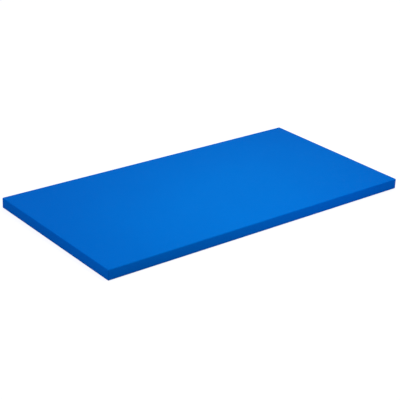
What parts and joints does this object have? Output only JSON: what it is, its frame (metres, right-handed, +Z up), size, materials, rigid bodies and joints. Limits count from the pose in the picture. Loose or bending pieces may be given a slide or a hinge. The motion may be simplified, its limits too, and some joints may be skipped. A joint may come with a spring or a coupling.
{
  "type": "balance pad",
  "caption": "Large flat rectangular exercise pad: foam sandwich in a folded coated cover, with a coil zip along the rear side and an anti-slip base.",
  "frame": {"origin": "middle of the underside, on the floor", "axes": "+X along the pad's length, +Y across it from the front side to the rear side with the zip, +Z up"},
  "size_m": [2, 1.0075, 0.06],
  "materials": {
    "cover": "coated fabric, fine grain, satin",
    "base": "dark woven fabric with raised anti-slip dots",
    "webbing": "flat woven webbing",
    "firm_foam": "closed-cell foam",
    "soft_foam": "open-cell foam",
    "glue": "dry contact adhesive",
    "zip_tape": "woven polyester tape",
    "coil": "nylon coil",
    "stop_metal": "bare, satin",
    "slider_metal": "die-cast zinc, nickel plated"
  },
  "bodies": {
    "pad": {"cover_shell": "cover", "rear_lower_strip": "cover", "base_panel": "base", "corner_tape_front_left": "webbing", "corner_tape_front_right": "webbing", "corner_tape_rear_left": "webbing", "corner_tape_rear_right": "webbing", "foam_top_layer": "firm_foam", "upper_glue_film": "glue", "foam_core": "soft_foam", "lower_glue_film": "glue", "foam_bottom_layer": "firm_foam", "zip_tape_upper": "zip_tape", "zip_tape_lower": "zip_tape", "zip_coil_upper": "coil", "zip_coil_lower": "coil", "zip_top_stops": "stop_metal", "zip_bottom_stop": "stop_metal", "zip_end_patch_left": "cover", "zip_end_patch_right": "cover"},
    "slider": {"zip_slider_body": "slider_metal"},
    "pull_tab": {"zip_pull_tab": "slider_metal"}
  },
  "joints": [
    {"name": "zip_slide", "type": "slide", "parent": "pad", "child": "slider", "axis": [-1, 0, 0], "range_m": [0, 1.8148], "deforming": ["zip_coil_upper", "zip_coil_lower"]},
    {"name": "tab_hinge", "type": "hinge", "parent": "slider", "child": "pull_tab", "pos_m": [0.9084, 0.5049, 0.03], "axis": [0, 0, -1], "range_deg": [0, 180]}
  ]
}
